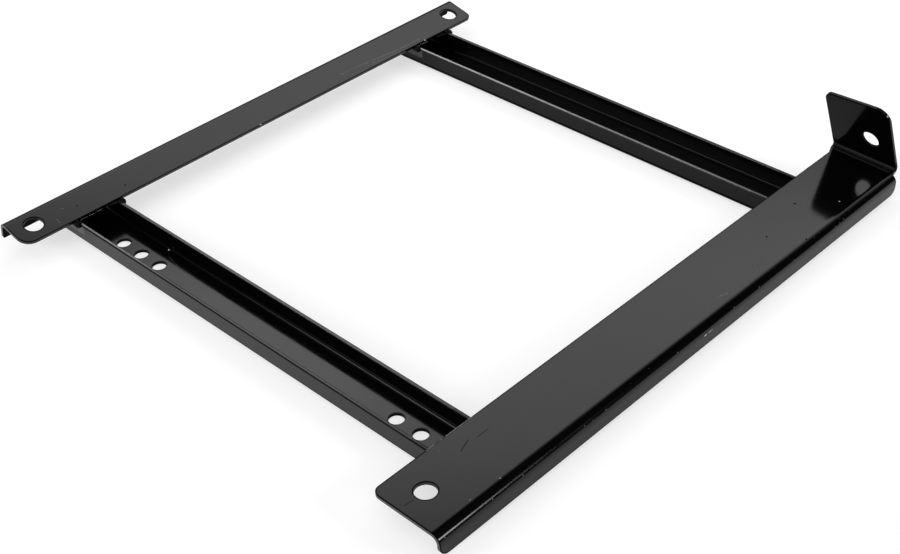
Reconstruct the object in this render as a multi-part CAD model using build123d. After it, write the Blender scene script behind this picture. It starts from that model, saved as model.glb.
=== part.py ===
from build123d import *
import math
import os

# Seat base: two open channels welded across between a narrow rail and a wide rail, all folded steel sheet.
# Layout axes: X runs from the narrow rail to the wide rail, Y along the rails towards the folded tab, Z up.
# The frame stands on the undersides of its two channels.

# Sheet
SHEET = 2.0
BEND_IN = 2.0
BEND_OUT = BEND_IN + SHEET

# Cross channels, open upwards and both of one section
CHANNEL_LENGTH = 360.0
CHANNEL_WIDTH = 32.5
CHANNEL_HEIGHT = 14.0
CHANNEL_START = 8.9
FRONT_CHANNEL_Y = 54.0
REAR_CHANNEL_Y = 350.3

# Two rows of three holes in the front channel's web
WEB_HOLE = 9.0
WEB_HOLE_PITCH = 18.0
WEB_ROW_SPACING = 241.0
WEB_HOLE_BACKSET = 1.1

# Wide rail: a level plate with a fold down its outer side
WIDE_INNER_EDGE = 330.5
WIDE_WIDTH = 46.4
WIDE_DEPTH = 13.1
WIDE_BEND_OUT = 6.0
WIDE_NEAR_END = -1.6
WIDE_FLANGE_FAR_END = 405.4
WIDE_PLATE_CORNER = 5.0
WIDE_FLANGE_NEAR_CORNER = 6.0
WIDE_FLANGE_FAR_CORNER = 5.0

# Narrow rail: the same fold, tipped up at its outer side
NARROW_INNER_EDGE = 25.9
NARROW_WIDTH = 25.9
NARROW_DEPTH = 12.4
NARROW_TILT = 13.8
NARROW_NEAR_END = 1.0
NARROW_FAR_END = 393.6
NARROW_NEAR_CORNER = 9.0
NARROW_FAR_CORNER = 5.0
NARROW_OUTER_CORNER = 1.0

# Fixing holes in the rails and the tab
RAIL_HOLE = 12.0
NARROW_HOLE_FROM_OUTER = 13.5
NARROW_HOLE_YS = (15.6, 380.6)
WIDE_HOLE_FROM_INNER = 19.5
WIDE_HOLE_Y = 16.3

# Tab: the wide plate's far end folded up and back over the plate, along a line a little out of square
TAB_ANGLE = 71.2
TAB_SKEW = 3.0
TAB_LINE_X = WIDE_INNER_EDGE + WIDE_WIDTH / 2
TAB_LINE_Y = 409.85
TAB_LEFT = -25.8
TAB_RIGHT = 20.2
TAB_HEIGHT_LEFT = 47.6
TAB_HEIGHT_RIGHT = 49.1
TAB_CORNER_LEFT = 5.0
TAB_CORNER_RIGHT = 9.0
TAB_HOLE_ACROSS = 3.9
TAB_HOLE_UP = 19.4
TAB_JOG = 4.0

# Welds
BEAD_LEG = 3.0
BEAD_END_GAP = 3.0
BEAD_START = 1.0
CAP_REACH = 5.0
CAP_RADIUS = 2.6
CAP_OUTWARD = 0.3
CAP_SINK = 0.4

PLATE_TOP = CHANNEL_HEIGHT + SHEET
FAR = 1000.0


def folded_section(plane, points, bend_out=BEND_OUT):
    """A folded sheet's section: the outer line through the points, and the same line one sheet inwards."""
    with BuildSketch(plane) as section:
        with BuildLine():
            outer = FilletPolyline(*points, radius=bend_out)
            offset(outer, amount=SHEET, side=Side.LEFT)
        make_face()
    return section.sketch


def upright_hole(x, y, z, diameter):
    """A drill through one sheet whose middle is at height z."""
    return Pos(x, y, z) * Cylinder(diameter / 2, 4 * SHEET)


def narrow_rail_place():
    """The narrow rail's own frame: its inner top edge, with the plate running towards -X from it."""
    return Pos(NARROW_INNER_EDGE, 0, PLATE_TOP) * Rot(0, NARROW_TILT, 0)


def under_rails():
    """All the space below the narrow rail's tipped underside and, beyond its edge, below the wide rail's."""
    slope = math.tan(math.radians(NARROW_TILT))
    edge_z = PLATE_TOP - SHEET * math.cos(math.radians(NARROW_TILT))
    edge_x = NARROW_INNER_EDGE - SHEET * math.sin(math.radians(NARROW_TILT))
    foot_x = edge_x + (edge_z - CHANNEL_HEIGHT) / slope
    left_z = CHANNEL_HEIGHT + foot_x * slope
    outline = Polyline(
        (0, -FAR), (0, left_z), (foot_x, CHANNEL_HEIGHT), (FAR, CHANNEL_HEIGHT), (FAR, -FAR), close=True
    )
    side = Plane.XZ * make_face(outline)
    return extrude(side, FAR, both=True)


def channel(middle_y):
    """An open channel whose flanges rise at the narrow rail's end, to meet that rail's tipped underside."""
    half = CHANNEL_WIDTH / 2
    tall = 2 * CHANNEL_HEIGHT
    section = folded_section(
        Plane(origin=(CHANNEL_START, middle_y, 0), x_dir=(0, 1, 0), z_dir=(1, 0, 0)),
        [(-half, tall), (-half, 0), (half, 0), (half, tall)],
    )
    return extrude(section, CHANNEL_LENGTH) & under_rails()


def front_channel():
    """The channel with two rows of three holes, set alike about the channel's middle."""
    body = channel(FRONT_CHANNEL_Y)
    middle_x = CHANNEL_START + CHANNEL_LENGTH / 2
    for row in (-1, 1):
        for step in (-1, 0, 1):
            x = middle_x + row * WEB_ROW_SPACING / 2 + step * WEB_HOLE_PITCH
            body -= upright_hole(x, FRONT_CHANNEL_Y - WEB_HOLE_BACKSET, SHEET / 2, WEB_HOLE)
    return body


def round_corner(body, axis, point, radius):
    """Rounds the corner of the sheet whose edge lies along the axis, nearest the point."""
    edge = body.edges().filter_by(axis).sort_by_distance(point)[0]
    return fillet(edge, radius)


def narrow_rail():
    """A folded angle with a fixing hole near each end, tipped about its inner top edge."""
    section = folded_section(
        Plane(origin=(0, NARROW_FAR_END, 0), x_dir=(1, 0, 0), z_dir=(0, -1, 0)),
        [(0, 0), (-NARROW_WIDTH, 0), (-NARROW_WIDTH, -NARROW_DEPTH)],
    )
    body = extrude(section, NARROW_FAR_END - NARROW_NEAR_END)
    body = round_corner(body, Axis.Z, (0, NARROW_NEAR_END, 0), NARROW_NEAR_CORNER)
    body = round_corner(body, Axis.Z, (0, NARROW_FAR_END, 0), NARROW_FAR_CORNER)
    for end in (NARROW_NEAR_END, NARROW_FAR_END):
        body = round_corner(body, Axis.X, (-NARROW_WIDTH, end, -NARROW_DEPTH), NARROW_OUTER_CORNER)
    for y in NARROW_HOLE_YS:
        body -= upright_hole(NARROW_HOLE_FROM_OUTER - NARROW_WIDTH, y, -SHEET / 2, RAIL_HOLE)
    return narrow_rail_place() * body


def tab_axes():
    """Directions along the tab's fold line, across it in the plate, and up the tab's front face."""
    skew = math.radians(TAB_SKEW)
    lean = math.radians(TAB_ANGLE)
    along = Vector(math.cos(skew), -math.sin(skew), 0)
    across = Vector(math.sin(skew), math.cos(skew), 0)
    up = across * -math.cos(lean) + Vector(0, 0, 1) * math.sin(lean)
    return along, across, up


def tab_setback():
    """How far the fold's round begins before the corner where the plate's and the tab's faces would meet."""
    return BEND_IN * math.tan(math.radians(180 - TAB_ANGLE) / 2)


def tab_fold():
    """The round of the fold between the plate and the tab."""
    along, across, _ = tab_axes()
    start = Vector(TAB_LINE_X, TAB_LINE_Y, PLATE_TOP) - across * tab_setback()
    end_plane = Plane(origin=start, x_dir=along, z_dir=across)
    width = TAB_RIGHT - TAB_LEFT
    end = end_plane * Pos((TAB_LEFT + TAB_RIGHT) / 2, SHEET / 2) * Rectangle(width, SHEET)
    centre = start + Vector(0, 0, BEND_IN)
    return revolve(end, axis=Axis(centre, along), revolution_arc=180 - TAB_ANGLE)


def tab():
    """The flat of the tab, its sides parallel to the rail's own in the flat sheet, so leaning once folded."""
    along, _, up = tab_axes()
    skew = math.radians(TAB_SKEW)
    front = Plane(origin=(TAB_LINE_X, TAB_LINE_Y, PLATE_TOP), x_dir=along, z_dir=along.cross(up))

    def from_flat(across_rail, along_rail):
        """A point of the flat sheet, in the tab's own axes."""
        return (
            across_rail * math.cos(skew) - along_rail * math.sin(skew),
            across_rail * math.sin(skew) + along_rail * math.cos(skew),
        )

    foot = tab_setback()
    outline = Polyline(
        (TAB_LEFT, foot),
        from_flat(TAB_LEFT, TAB_HEIGHT_LEFT),
        from_flat(TAB_RIGHT, TAB_HEIGHT_RIGHT),
        (TAB_RIGHT, foot),
        close=True,
    )
    face = make_face(outline)
    corners = face.vertices().sort_by(Axis.Y)[-2:].sort_by(Axis.X)
    face = fillet(corners[0], TAB_CORNER_LEFT)
    corners = face.vertices().sort_by(Axis.X)[-2:].sort_by(Axis.Y)
    face = fillet(corners[1], TAB_CORNER_RIGHT)
    face -= Pos(*from_flat(TAB_HOLE_ACROSS, TAB_HOLE_UP)) * Circle(RAIL_HOLE / 2)
    return extrude(front * face, -SHEET)


def wide_plate_end():
    """The plate's last stretch, up to the skewed line where the tab's fold begins, with the jog at its inner side."""
    along, across, _ = tab_axes()
    middle = Vector(TAB_LINE_X, TAB_LINE_Y, 0) - across * tab_setback()
    left = middle + along * TAB_LEFT
    right = middle + along * TAB_RIGHT
    begin = WIDE_FLANGE_FAR_END - TAB_JOG
    outline = Polyline(
        (WIDE_INNER_EDGE, begin),
        (left.X, left.Y),
        (right.X, right.Y),
        (right.X, WIDE_FLANGE_FAR_END),
        (WIDE_INNER_EDGE + WIDE_WIDTH - WIDE_BEND_OUT, WIDE_FLANGE_FAR_END),
        (WIDE_INNER_EDGE + WIDE_WIDTH - WIDE_BEND_OUT, begin),
        close=True,
    )
    return Pos(0, 0, CHANNEL_HEIGHT) * extrude(make_face(outline), SHEET)


def wide_rail():
    """A folded angle with one fixing hole, its plate carried on past the fold's end and bent up as the tab."""
    outer_x = WIDE_INNER_EDGE + WIDE_WIDTH
    flange_foot = PLATE_TOP - WIDE_DEPTH
    section = folded_section(
        Plane(origin=(0, WIDE_NEAR_END, 0), x_dir=(-1, 0, 0), z_dir=(0, 1, 0)),
        [(-WIDE_INNER_EDGE, PLATE_TOP), (-outer_x, PLATE_TOP), (-outer_x, flange_foot)],
        WIDE_BEND_OUT,
    )
    body = extrude(section, WIDE_FLANGE_FAR_END - WIDE_NEAR_END)
    near = (WIDE_INNER_EDGE, WIDE_NEAR_END, PLATE_TOP)
    body = round_corner(body, Axis.Z, near, WIDE_PLATE_CORNER)
    near = (outer_x, WIDE_NEAR_END, flange_foot)
    body = round_corner(body, Axis.X, near, WIDE_FLANGE_NEAR_CORNER)
    far = (outer_x, WIDE_FLANGE_FAR_END, flange_foot)
    body = round_corner(body, Axis.X, far, WIDE_FLANGE_FAR_CORNER)
    body += wide_plate_end()
    body += tab_fold()
    body += tab()
    hole_x = WIDE_INNER_EDGE + WIDE_HOLE_FROM_INNER
    body -= upright_hole(hole_x, WIDE_HOLE_Y, PLATE_TOP - SHEET / 2, RAIL_HOLE)
    return body


def round_rod(start, end, radius):
    """A rod with flat ends."""
    path = end - start
    upright = (Align.CENTER, Align.CENTER, Align.MIN)
    return Plane(origin=start, x_dir=(0, 1, 0), z_dir=path) * Cylinder(radius, path.length, align=upright)


def domed_rod(start, end, radius):
    """A rod with domed ends, between two points of one cross-section plane of the frame."""
    path = end - start
    slot = Pos(path.length / 2, 0) * SlotCenterToCenter(path.length, 2 * radius)
    half = slot & Pos(path.length / 2, radius) * Rectangle(FAR, 2 * radius)
    return Plane(origin=start, x_dir=path, z_dir=(0, 1, 0)) * revolve(half, Axis.X)


def in_corner(rod, face_y, outside):
    """The quarter of a rod that lies under a rail and outside the face of a flange."""
    outer = Pos(0, face_y + outside * FAR / 2, 0) * Box(2 * FAR, FAR, FAR)
    return rod & outer & under_rails()


def weld_cap(edge, outside):
    """The rounded lump that ends a weld, over the flange's top and against the narrow rail's inner edge."""
    start = Vector(edge.X, edge.Y + outside * CAP_OUTWARD, CHANNEL_HEIGHT - CAP_SINK)
    end = start + Vector(CAP_REACH - CAP_RADIUS, 0, 0)
    return domed_rod(start, end, CAP_RADIUS)


def narrow_welds(middle_y, carried, rail):
    """The welds of one channel to the narrow rail: a bead along each flange, capped at the rail's edge."""
    tilt = math.radians(NARROW_TILT)
    inner = Vector(
        NARROW_INNER_EDGE - SHEET * math.sin(tilt), 0, PLATE_TOP - SHEET * math.cos(tilt)
    )
    uphill = Vector(-math.cos(tilt), 0, math.sin(tilt))
    first = inner + uphill * BEAD_START
    last = inner + uphill * ((inner.X - CHANNEL_START - BEAD_START) / math.cos(tilt))
    welds = []
    for outside in (-1, 1):
        face_y = middle_y + outside * CHANNEL_WIDTH / 2
        shift = Vector(0, face_y, 0)
        run = in_corner(round_rod(first + shift, last + shift, BEAD_LEG), face_y, outside)
        cap = weld_cap(inner + shift, outside)
        welds.append((run + cap) - rail - carried)
    return Compound(welds)


def wide_welds(middle_y, carried, rail):
    """The welds of one channel to the wide rail, under the plate and short of both its edges."""
    first_x = WIDE_INNER_EDGE + BEAD_LEG + BEAD_END_GAP
    last_x = CHANNEL_START + CHANNEL_LENGTH - BEAD_LEG
    welds = []
    for outside in (-1, 1):
        face_y = middle_y + outside * CHANNEL_WIDTH / 2
        first = Vector(first_x, face_y, CHANNEL_HEIGHT)
        last = Vector(last_x, face_y, CHANNEL_HEIGHT)
        run = in_corner(domed_rod(first, last, BEAD_LEG), face_y, outside)
        welds.append(run - rail - carried)
    return Compound(welds)


def seat_base():
    """Every piece of the frame, by name, in the layout's own axes."""
    rails = {"narrow_rail": narrow_rail(), "wide_rail": wide_rail()}
    channels = {"front_channel": front_channel(), "rear_channel": channel(REAR_CHANNEL_Y)}
    welds = {}
    for end, middle_y in (("front", FRONT_CHANNEL_Y), ("rear", REAR_CHANNEL_Y)):
        carried = channels[end + "_channel"]
        welds[end + "_narrow_welds"] = narrow_welds(middle_y, carried, rails["narrow_rail"])
        welds[end + "_wide_welds"] = wide_welds(middle_y, carried, rails["wide_rail"])
    return rails | channels | welds


pieces = seat_base()
box = Compound(list(pieces.values())).bounding_box()
middle = (box.min + box.max) / 2
place = Pos(-middle.X, -middle.Y, -box.min.Z)
print("row origin in the layout", round(middle.X, 4), round(middle.Y, 4), round(box.min.Z, 4))

os.makedirs("parts", exist_ok=True)
for name, piece in pieces.items():
    export_step(place * piece, f"parts/{name}.step")
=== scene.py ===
import math

import bmesh
import bpy
from mathutils import Matrix, Vector, noise


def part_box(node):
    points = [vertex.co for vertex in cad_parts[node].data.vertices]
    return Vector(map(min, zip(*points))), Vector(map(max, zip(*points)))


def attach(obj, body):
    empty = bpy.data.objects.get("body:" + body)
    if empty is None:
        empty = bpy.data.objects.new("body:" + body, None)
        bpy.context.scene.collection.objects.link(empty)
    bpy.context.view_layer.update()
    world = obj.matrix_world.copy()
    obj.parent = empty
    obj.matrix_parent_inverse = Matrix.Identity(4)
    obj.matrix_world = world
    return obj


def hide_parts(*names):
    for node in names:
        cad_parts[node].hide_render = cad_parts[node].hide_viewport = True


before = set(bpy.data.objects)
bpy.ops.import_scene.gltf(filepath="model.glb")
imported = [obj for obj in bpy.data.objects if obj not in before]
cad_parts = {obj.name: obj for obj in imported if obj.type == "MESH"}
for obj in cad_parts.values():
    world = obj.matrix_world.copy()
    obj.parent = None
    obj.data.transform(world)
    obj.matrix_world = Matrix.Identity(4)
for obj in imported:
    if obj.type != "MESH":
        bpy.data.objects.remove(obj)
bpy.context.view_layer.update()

# Camera, fitted to the frame's edges and hole rims as the photograph shows them
PHOTO_WIDTH_PX = 900
FOCAL_LENGTH_PX = 1451.2
SENSOR_WIDTH_MM = 36.0
CAMERA_AZIMUTH = math.radians(45.49)
CAMERA_ELEVATION = math.radians(36.87)
CAMERA_ROLL = math.radians(-2.64)
CAMERA_DISTANCE = 0.8594
CAMERA_TARGET = Vector((0.03773, -0.04331, 0.0))
CAMERA_NEAREST = 0.01

# Floor
FLOOR_SIZE = 8.0
FLOOR_DROP = 0.0001
FLOOR_COLOUR = (0.42, 0.42, 0.42, 1.0)
FLOOR_LIFT = 0.61

# Softbox that hangs behind the frame. Its fades: axis of the lamp, where it is dark, where it is fully lit
SOFTBOX_PLACE = (-0.481, 1.036, 1.0)
SOFTBOX_TURN = math.radians(48.1)
SOFTBOX_SIZE = (3.8, 2.0)
SOFTBOX_WATTS = 52.0
SOFTBOX_COLOUR = (0.985, 0.97, 1.0)
SOFTBOX_FADES = (("X", 0.20, 0.27), ("X", 0.98, 0.86), ("Y", 0.14, 0.40), ("Y", 1.0, 0.50))

# Round soft lights of the room: azimuth from +X towards +Y, elevation, radius of the full and of the
# faded part, all in degrees, and strength
ROOM_LIGHTS = {
    "front": (-60.0, 40.0, 20.0, 75.0, 1.4),
    "front_left": (-122.0, 24.0, 4.0, 14.0, 9.0),
    "aside": (27.0, 24.0, 1.0, 7.0, 30.0),
}
ROOM_COLOUR = (1.0, 1.0, 1.0, 1.0)
ROOM_STRENGTH = 0.022

# Black coating: colour, gloss, orange peel, slow waves and mottled roughness (cells per metre, detail, mix)
COAT_COLOUR = (0.0010, 0.0010, 0.0011, 1.0)
COAT_IOR = 1.34
COAT_GLOSS = 0.5
LEAST_GLOSS = 0.02
COAT_ROUGHNESS = (0.10, 0.135)
DULLED_ROUGHNESS = 0.35
PEEL = (900.0,)
PEEL_HEIGHT = 0.000004
WAVES = (130.0, 1.0)
WAVE_HEIGHT = 0.000016
MOTTLE = (28.0, 4.0, 0.6)
NOISE_RANGE = (0.3, 0.7)

# Rounding that the coat gives to edges
EDGE_ROUNDING = 0.0009
EDGE_SAMPLES = 6

# Painted shade and painted highlight: boxes where the coat's gloss is lowered or raised: lowest corner,
# highest corner, softness of its sides, change
CRISP = (0.0005, 0.0005, 0.0005)
SHADE_AND_HIGHLIGHT_GLOSS = {
    # front_web, narrow_rail and tab are painted highlight; all the others are painted shade
    "front_web": ((-0.300, -0.1640, 0.0010), (0.160, -0.1390, 0.0028), (0.10, 0.0005, 0.0005), 0.20),
    "front_far_flange_inside": ((-0.180, -0.1378, 0.0042), (0.182, -0.1364, 0.0139), CRISP, -0.40),
    "rear_far_flange_inside": ((-0.180, 0.1585, 0.0042), (0.182, 0.1599, 0.0139), CRISP, -0.40),
    "front_far_bend_inside": ((-0.180, -0.1408, 0.0018), (0.182, -0.1364, 0.0046), CRISP, -0.22),
    "rear_far_bend_inside": ((-0.180, 0.1555, 0.0018), (0.182, 0.1599, 0.0046), CRISP, -0.40),
    "rear_near_flange_outside": ((-0.180, 0.1279, 0.0010), (0.182, 0.1294, 0.0139), CRISP, -0.20),
    "front_near_flange_edge": ((-0.180, -0.1682, 0.0128), (0.145, -0.1670, 0.0145), CRISP, -0.42),
    "wide_flange_outside": ((0.1886, -0.2100, 0.0020), (0.192, 0.2100, 0.0108), CRISP, -0.17),
    "tab_bend": ((0.1300, 0.1925, 0.0161), (0.192, 0.2120, 0.0225), CRISP, -0.45),
    "tab": ((0.1300, 0.1840, 0.0223), (0.192, 0.2070, 0.0660), CRISP, 0.10),
    "narrow_rail": ((-0.210, -0.4000, 0.0080), (-0.155, 0.2200, 0.0240), (0.0005, 0.16, 0.0005), 0.03),
}
# Painted shade: faces that tilt downwards lose most of their gloss
UNDERSIDE_TILT = (-0.15, -0.02)
UNDERSIDE_SHADE_CHANGE = -0.47

# Cut edges of the rails: painted shade as a dark rim either side of each edge, and a painted highlight as
# a brighter line along the middle of each cut face
RIM_BOXES = (
    ((0.1300, -0.2100, 0.0135), (0.1860, 0.2150, 0.0660)),
    ((0.1840, -0.2100, 0.0020), (0.1920, 0.2150, 0.0660)),
    ((-0.1920, -0.2100, 0.0070), (-0.1550, 0.2150, 0.0210)),
)
RIM_WIDTH = 0.0014
RIM_SAMPLES = 8
RIM_TURN = (0.0004, 0.008)
RIM_SHADE_SHARE = 0.93
CUT_BOXES = (
    ((0.1300, -0.2100, 0.0135), (0.1865, 0.2150, 0.0165)),
    ((-0.1835, -0.2100, 0.0070), (-0.1550, 0.2150, 0.0210)),
)
CUT_TILT = 0.28
NEAR_END_TILT = -0.9
CUT_HIGHLIGHT_CHANGE = 0.95

# Holes whose walls get painted shade, with less gloss and more roughness: centre, radius
RAIL_HOLE_RADIUS = 0.006
WEB_HOLE_RADIUS = 0.0045
HOLES = [
    ((-0.173725, -0.189803, 0.017987), RAIL_HOLE_RADIUS),
    ((-0.173725, 0.175198, 0.017987), RAIL_HOLE_RADIUS),
    ((0.162655, -0.189102, 0.015), RAIL_HOLE_RADIUS),
    ((0.16895, 0.198942, 0.034855), RAIL_HOLE_RADIUS),
]
for row_middle in (-0.118945, 0.122055):
    for step in (-0.018, 0.0, 0.018):
        HOLES.append(((row_middle + step, -0.152503, 0.001), WEB_HOLE_RADIUS))
HOLE_RIM = 0.00035
HOLE_FULL_SHARE = 0.97

# Scratches and pale lines, the last a painted highlight along the wide plate's inner edge: points along each
# one, half its width, how bright
SCRATCHES_AND_HIGHLIGHTS = (
    (((-0.1684, 0.0757, 0.0177), (-0.1652, 0.1152, 0.0169), (-0.1649, 0.1361, 0.0169)), 0.00022, 0.35),
    (((-0.1688, 0.0607, 0.0178), (-0.1684, 0.0757, 0.0177)), 0.00018, 0.35),
    (((-0.1648, 0.0885, 0.0168), (-0.1627, 0.1135, 0.0163)), 0.00018, 0.35),
    (((-0.1752, -0.1704, 0.0194), (-0.1738, -0.1678, 0.0191)), 0.00030, 0.35),
    (((-0.1689, -0.1763, 0.0178), (-0.1651, -0.1769, 0.0169)), 0.00018, 0.30),
    (((0.1787, 0.0256, 0.016), (0.1802, 0.033, 0.016)), 0.00025, 0.35),
    (((-0.1048, -0.1429, 0.002), (-0.0767, -0.1479, 0.002)), 0.00012, 0.20),
    (((0.1896, 0.0, 0.0104), (0.1896, 0.0065, 0.0106)), 0.00060, 1.0),
    # Painted highlight along the wide plate's inner edge where it crosses the front channel
    (((0.1431, -0.1690, 0.0160), (0.1431, -0.1360, 0.0160)), 0.00060, 0.70),
)

# Dark scuffs on the wide plate: start, end, half its width
SCUFFS = (
    ((0.15645, -0.15795, 0.016), (0.15363, -0.14991, 0.016), 0.00048),
    ((0.15551, -0.14534, 0.016), (0.15565, -0.13740, 0.016), 0.00040),
    ((0.16207, -0.20316, 0.016), (0.16247, -0.19751, 0.016), 0.00040),
)
SCUFF_CHANGE = -0.32
LINE_FULL_SHARE = 0.4

# Pale chips and specks, and a painted highlight dot at the tab's corner: centre, radius
CHIPS_AND_GLINT = (
    ((-0.162, -0.0191, 0.0161), 0.0007),
    ((-0.1616, 0.1383, 0.0160), 0.0008),
    ((0.1891, -0.1164, 0.0150), 0.0009),
    ((0.1782, 0.1521, 0.0160), 0.0006),
    ((0.1827, -0.1794, 0.0160), 0.0004),
    ((0.1835, -0.1590, 0.0160), 0.0004),
    ((0.1896, -0.2017, 0.0133), 0.0006),
    ((0.1896, -0.1867, 0.0129), 0.0005),
    ((0.1896, -0.1693, 0.0130), 0.0006),
    ((0.1896, -0.1520, 0.0135), 0.0005),
    # Painted highlight: a pale dot on the corner at the right end of the tab's fold
    ((0.1865, 0.2024, 0.0150), 0.0013),
    ((-0.1094, -0.1387, 0.0020), 0.0008),
)

# Dark pits in the coat: centre, radius
PITS = (
    ((0.1661, 0.0926, 0.016), 0.0008),
    ((0.1848, 0.1058, 0.016), 0.0008),
    ((0.1593, 0.1328, 0.016), 0.0009),
    ((-0.1711, -0.1599, 0.0184), 0.0006),
    ((-0.1684, -0.1256, 0.0177), 0.0007),
)
MARK_FULL_SHARE = 0.6
MARK_DEPTH = 0.00005
# Also gives the hole walls their painted shade
PIT_AND_WALL_SHADE_CHANGE = -0.45

# How marks break up along noise: from, to, and the share left at each of the two
BREAKS = (420.0, 3.0)
SCRATCH_BREAKS = (0.35, 0.6, 0.1, 1.0)
CHIP_AND_GLINT_BREAKS = (0.3, 0.5, 0.0, 1.0)
STRIP_BREAKS = (0.30, 0.55, 0.7, 1.0)

# Dust all over, and pale specks along the wide bend: cells per metre, radius of a dot in cells, share of
# cells
DUST = (95.0, 0.022, 0.30)
DUST_BRIGHTNESS = 0.6
BEND_SPECKS = (520.0, 0.22, 0.12)
BEND_SPECK_BRIGHTNESS = 0.35
BEND_SPECK_BOX = ((0.1866, -0.205, 0.0100), (0.1900, 0.200, 0.0156))

# Pale colour of scratches, chips, dust and specks, also of the painted highlight line and dot
BARE_AND_HIGHLIGHT_COLOUR = (0.42, 0.41, 0.40, 1.0)
# Pale colour of the rubbed flange tops, partly painted highlight, and of the welds' painted glints
WORN_AND_HIGHLIGHT_COLOUR = (0.36, 0.352, 0.34, 1.0)
STRIP_DULLING = 0.6

# Rubbed tops of the channels' flanges, paler as wear and as painted highlight: inner and outer side, where
# the paleness changes along the channel, and how strong it is before and after that
STRIP_HEIGHT = (0.0137, 0.0143)
STRIP_SOFTNESS = 0.0001
STRIP_TILT = (0.90, 0.97)
STRIPS = (
    ((-0.16700, -0.16565), (-0.130, -0.060), (0.55, 0.10)),
    ((-0.13715, -0.13515), (-0.060, 0.060), (0.20, 0.14)),
    ((0.12900, 0.13065), (-0.090, 0.030), (1.00, 0.50)),
    ((0.15915, 0.16115), (-0.100, 0.060), (0.20, 0.05)),
)
STRIP_FADE = (0.060, 0.140, 1.0, 0.45)

# Weld beads: remeshed cell, ripple pitch and depth, how far the ripples bow, lumps
WELD_NODES = ("front_narrow_welds", "front_wide_welds", "rear_narrow_welds", "rear_wide_welds")
WELD_CELL = 0.0003
RIPPLE_PITCH = 0.0014
RIPPLE_DEPTH = 0.00028
RIPPLE_BOW = 1600.0
LUMP_DEPTH = 0.0003
LUMPS_PER_M = 320.0

# Coat on the weld beads: grain, pale specks that are painted glints, and roughness and gloss from smooth to
# grainy places
WELD_GRAIN = (1500.0, 3.0)
WELD_GRAIN_DEPTH = 0.00003
WELD_GLINT_SPECKS = (420.0, 0.10, 0.3)
WELD_ROUGHNESS = (0.14, 0.34)
WELD_GLOSS = (0.17, 0.06)
WELD_EDGE_ROUNDING = 0.0002


def node(tree, kind, *inputs, **settings):
    """A new node with its settings, and its inputs in order: plain values, or outputs of other nodes."""
    made = tree.nodes.new(kind)
    for name, value in settings.items():
        setattr(made, name, value)
    for socket, value in zip(made.inputs, inputs):
        if isinstance(value, bpy.types.NodeSocket):
            tree.links.new(value, socket)
        elif value is not None:
            socket.default_value = value
    return made


def math_node(tree, operation, *inputs):
    """The result of a Math node."""
    return node(tree, "ShaderNodeMath", *inputs, operation=operation).outputs[0]


def vector_node(tree, operation, *inputs):
    """A Vector Math node."""
    return node(tree, "ShaderNodeVectorMath", *inputs, operation=operation)


def highest(tree, *values):
    """The highest of several values."""
    found = values[0]
    for value in values[1:]:
        found = math_node(tree, "MAXIMUM", found, value)
    return found


def times(tree, *values):
    """The product of several values."""
    found = values[0]
    for value in values[1:]:
        found = math_node(tree, "MULTIPLY", found, value)
    return found


def changed(tree, value, where, change):
    """A value with a change added to it, as far as a place takes part in it."""
    return math_node(tree, "MULTIPLY_ADD", where, change, value)


def ramp(tree, value, low, high, at_low=0.0, at_high=1.0):
    """A smooth change from one value at low to another at high."""
    inputs = (value, low, high, at_low, at_high)
    return node(tree, "ShaderNodeMapRange", *inputs, interpolation_type="SMOOTHSTEP").outputs[0]


def split(tree, vector):
    """The X, Y and Z of a vector."""
    return tuple(node(tree, "ShaderNodeSeparateXYZ", vector).outputs)


def grain(tree, place, *shape):
    """Noise of a shape: cells per metre, detail, and how much of the fine detail is mixed in."""
    return node(tree, "ShaderNodeTexNoise", place, None, *shape).outputs["Fac"]


def rounded_normal(tree, radius, samples):
    """The surface's direction with its edges rounded."""
    return node(tree, "ShaderNodeBevel", radius, samples=samples).outputs["Normal"]


def near_point(tree, place, point, radius, full_share=MARK_FULL_SHARE):
    """1 within a radius of a point, fading from a share of that radius on."""
    away = vector_node(tree, "DISTANCE", place, point).outputs["Value"]
    return ramp(tree, away, full_share * radius, radius, 1.0, 0.0)


def near_line(tree, place, start, end, half_width):
    """1 along a straight line, with soft sides."""
    run = Vector(end) - Vector(start)
    reach = vector_node(tree, "SUBTRACT", place, start).outputs[0]
    along = vector_node(tree, "DOT_PRODUCT", reach, run / run.length_squared).outputs["Value"]
    along = node(tree, "ShaderNodeClamp", along).outputs[0]
    nearest = vector_node(tree, "SCALE", run)
    tree.links.new(along, nearest.inputs["Scale"])
    away = vector_node(tree, "DISTANCE", reach, nearest.outputs[0]).outputs["Value"]
    return ramp(tree, away, LINE_FULL_SHARE * half_width, half_width, 1.0, 0.0)


def in_box(tree, place, low, high, soft=CRISP):
    """1 inside a box, fading over its soft edges."""
    middle = (Vector(low) + Vector(high)) / 2
    half = (Vector(high) - Vector(low)) / 2
    off = vector_node(tree, "SUBTRACT", place, middle).outputs[0]
    off = vector_node(tree, "ABSOLUTE", off).outputs[0]
    off = vector_node(tree, "SUBTRACT", off, half).outputs[0]
    off = vector_node(tree, "DIVIDE", off, soft).outputs[0]
    return ramp(tree, highest(tree, *split(tree, off)), -1.0, 0.0, 1.0, 0.0)


def speckle(tree, place, cells_per_m, radius_in_cells, share):
    """Small scattered dots, in some of the cells only."""
    cells = node(tree, "ShaderNodeTexVoronoi", place, None, cells_per_m)
    dot = ramp(tree, cells.outputs["Distance"], 0.5 * radius_in_cells, radius_in_cells, 1.0, 0.0)
    chance = split(tree, cells.outputs["Color"])[0]
    return times(tree, dot, math_node(tree, "LESS_THAN", chance, share))


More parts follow.
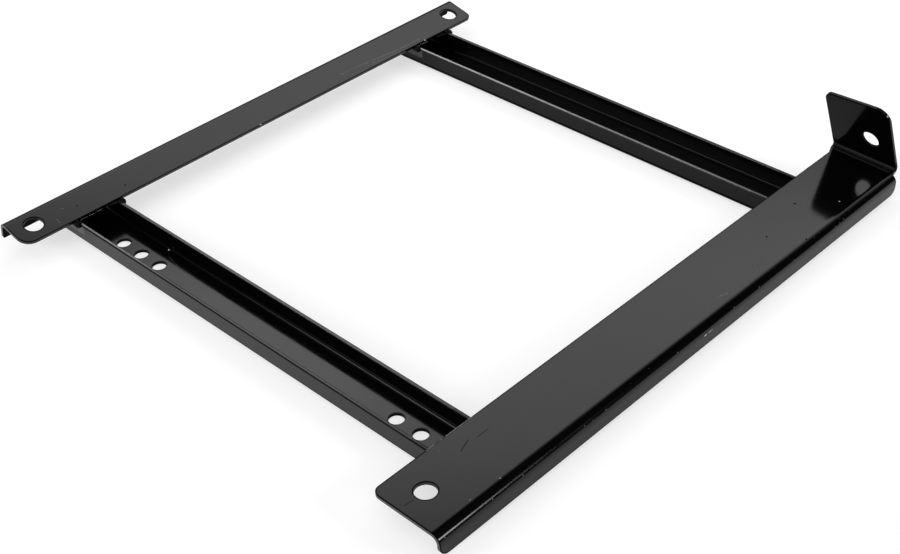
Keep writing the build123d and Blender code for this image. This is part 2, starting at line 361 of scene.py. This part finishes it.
def add_camera():
    """The camera at the photograph's place, with the photograph's small roll."""
    forward = Vector((
        -math.sin(CAMERA_AZIMUTH) * math.cos(CAMERA_ELEVATION),
        math.cos(CAMERA_AZIMUTH) * math.cos(CAMERA_ELEVATION),
        -math.sin(CAMERA_ELEVATION),
    ))
    level = forward.cross(Vector((0, 0, 1))).normalized()
    upright = level.cross(forward)
    right = level * math.cos(CAMERA_ROLL) + upright * math.sin(CAMERA_ROLL)
    up = upright * math.cos(CAMERA_ROLL) - level * math.sin(CAMERA_ROLL)
    place = CAMERA_TARGET - forward * CAMERA_DISTANCE

    data = bpy.data.cameras.new("camera")
    data.sensor_fit = "HORIZONTAL"
    data.sensor_width = SENSOR_WIDTH_MM
    data.lens = FOCAL_LENGTH_PX / PHOTO_WIDTH_PX * SENSOR_WIDTH_MM
    data.clip_start = CAMERA_NEAREST
    camera = bpy.data.objects.new("camera", data)
    camera.matrix_world = Matrix((
        (right.x, up.x, -forward.x, place.x),
        (right.y, up.y, -forward.y, place.y),
        (right.z, up.z, -forward.z, place.z),
        (0, 0, 0, 1),
    ))
    bpy.context.scene.collection.objects.link(camera)
    bpy.context.scene.camera = camera


def add_softbox():
    """A large lamp with soft edges, brightest along its middle."""
    data = bpy.data.lights.new("softbox", "AREA")
    data.shape = "RECTANGLE"
    data.size, data.size_y = SOFTBOX_SIZE
    data.energy = SOFTBOX_WATTS
    data.color = SOFTBOX_COLOUR
    data.use_nodes = True
    tree = data.node_tree
    across = node(tree, "ShaderNodeNewGeometry").outputs["Parametric"]
    parts = node(tree, "ShaderNodeSeparateXYZ", across).outputs
    fades = [ramp(tree, parts[axis], dark, lit) for axis, dark, lit in SOFTBOX_FADES]
    tree.links.new(times(tree, *fades), tree.nodes["Emission"].inputs["Strength"])
    lamp = bpy.data.objects.new("softbox", data)
    lamp.location = SOFTBOX_PLACE
    lamp.rotation_euler.z = SOFTBOX_TURN
    bpy.context.scene.collection.objects.link(lamp)


def add_room():
    """A dim room with a few soft lights in it."""
    world = bpy.data.worlds.new("studio")
    bpy.context.scene.world = world
    world.use_nodes = True
    tree = world.node_tree
    looking = node(tree, "ShaderNodeTexCoord").outputs["Generated"]
    strength = ROOM_STRENGTH
    for *angles, peak in ROOM_LIGHTS.values():
        around, above, full, faded = (math.radians(angle) for angle in angles)
        centre = (math.cos(around) * math.cos(above), math.sin(around) * math.cos(above), math.sin(above))
        near = vector_node(tree, "DOT_PRODUCT", looking, centre).outputs["Value"]
        glow = ramp(tree, near, math.cos(faded), math.cos(full), 0.0, peak)
        strength = math_node(tree, "ADD", glow, strength)
    sky = tree.nodes["Background"]
    sky.inputs["Color"].default_value = ROOM_COLOUR
    tree.links.new(strength, sky.inputs["Strength"])


def new_material(name):
    """An empty node material and its output."""
    material = bpy.data.materials.new(name)
    material.use_nodes = True
    tree = material.node_tree
    tree.nodes.clear()
    return material, tree, tree.nodes.new("ShaderNodeOutputMaterial")


def add_floor():
    """A pale floor that looks white to the camera and in reflections, and still takes the frame's shadow."""
    half = FLOOR_SIZE / 2
    mesh = bpy.data.meshes.new("floor")
    corners = [(-half, -half, 0), (half, -half, 0), (half, half, 0), (-half, half, 0)]
    mesh.from_pydata(corners, [], [(0, 1, 2, 3)])
    floor = bpy.data.objects.new("floor", mesh)
    floor.location.z = -FLOOR_DROP
    bpy.context.scene.collection.objects.link(floor)

    material, tree, output = new_material("pale_floor")
    rays = node(tree, "ShaderNodeLightPath").outputs
    seen = highest(tree, rays["Is Camera Ray"], rays["Is Glossy Ray"], rays["Is Transmission Ray"])
    matt = node(tree, "ShaderNodeBsdfDiffuse", FLOOR_COLOUR)
    glow = node(tree, "ShaderNodeEmission", None, times(tree, seen, FLOOR_LIFT))
    both = node(tree, "ShaderNodeAddShader", matt.outputs[0], glow.outputs[0])
    tree.links.new(both.outputs[0], output.inputs["Surface"])
    mesh.materials.append(material)


def rubbed_and_highlit_strips(tree, place, upward):
    """How pale the channels' flange tops are, from wear and painted highlight, fading along them."""
    x, y, z = split(tree, place)
    low, high = STRIP_HEIGHT
    above = ramp(tree, z, low - STRIP_SOFTNESS, low)
    below = ramp(tree, z, high, high + STRIP_SOFTNESS, 1.0, 0.0)
    level = times(tree, above, below, ramp(tree, upward, *STRIP_TILT))
    strips = []
    for (inner, outer), (start, end), (near, far) in STRIPS:
        across = math_node(tree, "COMPARE", y, (inner + outer) / 2, abs(outer - inner) / 2)
        strips.append(times(tree, across, ramp(tree, x, start, end, near, far)))
    return times(tree, highest(tree, *strips), level, ramp(tree, x, *STRIP_FADE))


def cut_edges(tree, place, normal, rounded):
    """How near the rails' edges a place is, and how far it lies along the middle of a cut face, for painted
    shade and a painted highlight.
    """
    turns = []
    for turned in (rounded, rounded_normal(tree, RIM_WIDTH, RIM_SAMPLES)):
        agree = vector_node(tree, "DOT_PRODUCT", normal, turned).outputs["Value"]
        turns.append(ramp(tree, math_node(tree, "SUBTRACT", 1.0, agree), *RIM_TURN))
    narrow_rim, wide_rim = turns
    on_rail = highest(tree, *(in_box(tree, place, *corners) for corners in RIM_BOXES))
    on_cut = highest(tree, *(in_box(tree, place, *corners) for corners in CUT_BOXES))
    _, y, z = split(tree, normal)
    upright = math_node(tree, "LESS_THAN", math_node(tree, "ABSOLUTE", z), CUT_TILT)
    end = times(tree, math_node(tree, "LESS_THAN", y, NEAR_END_TILT), on_rail)
    cut = times(tree, upright, highest(tree, end, on_cut))
    middle = times(tree, cut, math_node(tree, "SUBTRACT", 1.0, narrow_rim))
    rim = node(tree, "ShaderNodeMix", cut, None, wide_rim, narrow_rim).outputs[0]
    return times(tree, rim, on_rail), middle


def coat_surface(tree, output, colour, roughness, gloss, height, distance, rounded):
    """The coat's shader, with bump over rounded edges."""
    bump = node(tree, "ShaderNodeBump")
    bump.inputs["Distance"].default_value = distance
    tree.links.new(height, bump.inputs["Height"])
    tree.links.new(rounded, bump.inputs["Normal"])
    coat = node(tree, "ShaderNodeBsdfPrincipled", colour)
    coat.inputs["IOR"].default_value = COAT_IOR
    tree.links.new(roughness, coat.inputs["Roughness"])
    tree.links.new(gloss, coat.inputs["Specular IOR Level"])
    tree.links.new(bump.outputs["Normal"], coat.inputs["Normal"])
    tree.links.new(coat.outputs[0], output.inputs["Surface"])


def coated_sheet():
    """Gloss black powder coat over folded sheet, rubbed on the channels' edges, scratched and chipped, with
    painted highlights and painted shade.
    """
    material, tree, output = new_material("coated_sheet")
    place = node(tree, "ShaderNodeTexCoord").outputs["Object"]
    normal = node(tree, "ShaderNodeNewGeometry").outputs["Normal"]
    upward = split(tree, normal)[2]
    rounded = rounded_normal(tree, EDGE_ROUNDING, EDGE_SAMPLES)

    # Marks
    broken = grain(tree, place, *BREAKS)
    lines = []
    for points, half_width, bright in SCRATCHES_AND_HIGHLIGHTS:
        for start, end in zip(points, points[1:]):
            lines.append(times(tree, near_line(tree, place, start, end, half_width), bright))
    scratched_and_highlit = times(tree, highest(tree, *lines), ramp(tree, broken, *SCRATCH_BREAKS))
    chips_and_glint = highest(tree, *(near_point(tree, place, *chip) for chip in CHIPS_AND_GLINT))
    chipped_and_glint = times(tree, chips_and_glint, ramp(tree, broken, *CHIP_AND_GLINT_BREAKS))
    pitted = highest(tree, *(near_point(tree, place, *pit) for pit in PITS))
    scuffed = highest(tree, *(near_line(tree, place, *scuff) for scuff in SCUFFS))
    walls = [near_point(tree, place, hole, radius + HOLE_RIM, HOLE_FULL_SHARE) for hole, radius in HOLES]
    walled = highest(tree, *walls)
    dusty = times(tree, speckle(tree, place, *DUST), DUST_BRIGHTNESS)
    bend_specks = times(tree, speckle(tree, place, *BEND_SPECKS), in_box(tree, place, *BEND_SPECK_BOX), BEND_SPECK_BRIGHTNESS)
    # Rubbed flange tops, partly painted highlight
    rubbed_and_highlit = times(tree, rubbed_and_highlit_strips(tree, place, upward), ramp(tree, broken, *STRIP_BREAKS))

    # Colour, with painted highlights among the pale strips and marks
    # Pale marks, with a painted highlight line and dot among them
    bare_and_highlit = highest(tree, scratched_and_highlit, chipped_and_glint, dusty, bend_specks)
    colour = node(tree, "ShaderNodeMixRGB", rubbed_and_highlit, COAT_COLOUR, WORN_AND_HIGHLIGHT_COLOUR).outputs[0]
    colour = node(tree, "ShaderNodeMixRGB", bare_and_highlit, colour, BARE_AND_HIGHLIGHT_COLOUR).outputs[0]

    # Roughness
    roughness = ramp(tree, grain(tree, place, *MOTTLE), *NOISE_RANGE, *COAT_ROUGHNESS)
    dulled = highest(tree, walled, bare_and_highlit, pitted, times(tree, rubbed_and_highlit, STRIP_DULLING))
    roughness = changed(tree, roughness, dulled, DULLED_ROUGHNESS)

    # Gloss, with painted shade and painted highlights
    # Painted shade on the hole walls, with the dark pits
    gloss = changed(tree, COAT_GLOSS, highest(tree, walled, pitted), PIT_AND_WALL_SHADE_CHANGE)
    for low, high, soft, change in SHADE_AND_HIGHLIGHT_GLOSS.values():
        gloss = changed(tree, gloss, in_box(tree, place, low, high, soft), change)
    gloss = changed(tree, gloss, ramp(tree, upward, *UNDERSIDE_TILT, 1.0, 0.0), UNDERSIDE_SHADE_CHANGE)
    gloss = changed(tree, gloss, scuffed, SCUFF_CHANGE)
    rim, cut_middle = cut_edges(tree, place, normal, rounded)
    # Painted shade along the rails' edges, and a painted highlight along the middle of each cut face
    gloss = times(tree, gloss, changed(tree, 1.0, rim, -RIM_SHADE_SHARE))
    gloss = changed(tree, gloss, cut_middle, CUT_HIGHLIGHT_CHANGE)
    gloss = highest(tree, gloss, LEAST_GLOSS)

    # Relief, in heights of the peel
    relief = changed(tree, grain(tree, place, *PEEL), grain(tree, place, *WAVES), WAVE_HEIGHT / PEEL_HEIGHT)
    marked = highest(tree, scratched_and_highlit, chipped_and_glint, pitted)
    relief = changed(tree, relief, marked, -MARK_DEPTH / PEEL_HEIGHT)
    coat_surface(tree, output, colour, roughness, gloss, relief, PEEL_HEIGHT, rounded)
    return material


def coated_weld():
    """The same coat over weld metal, uneven and a little duller in its hollows, with painted glints as pale
    specks.
    """
    material, tree, output = new_material("coated_weld")
    place = node(tree, "ShaderNodeTexCoord").outputs["Object"]
    uneven = grain(tree, place, *WELD_GRAIN)
    # Painted glints: pale specks over the beads
    glint_specks = speckle(tree, place, *WELD_GLINT_SPECKS)
    colour = node(tree, "ShaderNodeMixRGB", glint_specks, COAT_COLOUR, WORN_AND_HIGHLIGHT_COLOUR).outputs[0]
    roughness = ramp(tree, uneven, *NOISE_RANGE, *WELD_ROUGHNESS)
    gloss = ramp(tree, uneven, *NOISE_RANGE, *WELD_GLOSS)
    rounded = rounded_normal(tree, WELD_EDGE_ROUNDING, EDGE_SAMPLES)
    coat_surface(tree, output, colour, roughness, gloss, uneven, WELD_GRAIN_DEPTH, rounded)
    return material


def remeshed(piece):
    """A fine even mesh of an object."""
    remesh = piece.modifiers.new("remesh", "REMESH")
    remesh.mode = "VOXEL"
    remesh.voxel_size = WELD_CELL
    bpy.context.view_layer.update()
    fine = bpy.data.meshes.new_from_object(piece.evaluated_get(bpy.context.evaluated_depsgraph_get()))
    piece.modifiers.clear()
    return fine


def rippled_welds(name, material):
    """A pair of weld beads with bowed ripples and lumps, in place of the plain ones."""
    piece = bpy.data.objects.new(name + "_rippled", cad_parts[name].data.copy())
    bpy.context.scene.collection.objects.link(piece)
    piece.data = remeshed(piece)

    low, high = (Vector(corner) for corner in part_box(name))
    shaped = bmesh.new()
    shaped.from_mesh(piece.data)
    shaped.normal_update()
    ends = [min(vertex.co.y for vertex in shaped.verts), max(vertex.co.y for vertex in shaped.verts)]
    depths = []
    for vertex in shaped.verts:
        side = min(abs(vertex.co.y - end) for end in ends)
        bow = RIPPLE_BOW * (side * side + (high.z - vertex.co.z) ** 2)
        ripple = abs(math.sin(math.pi * (vertex.co.x / RIPPLE_PITCH + bow)))
        lump = (noise.noise(vertex.co * LUMPS_PER_M) + 1) / 2
        depths.append(RIPPLE_DEPTH * (1 - ripple) + LUMP_DEPTH * lump)
    for vertex, depth in zip(shaped.verts, depths):
        vertex.co -= vertex.normal * depth
        vertex.co = [min(max(at, least), most) for at, least, most in zip(vertex.co, low, high)]
    for face in shaped.faces:
        face.smooth = True
    shaped.to_mesh(piece.data)
    shaped.free()
    piece.data.materials.clear()
    piece.data.materials.append(material)
    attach(piece, "root")
    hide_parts(name)


def dress(material, names):
    """Gives CAD nodes their finish."""
    for name in names:
        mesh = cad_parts[name].data
        mesh.materials.clear()
        mesh.materials.append(material)


add_camera()
add_softbox()
add_room()
add_floor()
dress(coated_sheet(), [name for name in sorted(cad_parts) if name not in WELD_NODES])
weld = coated_weld()
for name in WELD_NODES:
    rippled_welds(name, weld)

bpy.context.scene.view_settings.view_transform = "Standard"
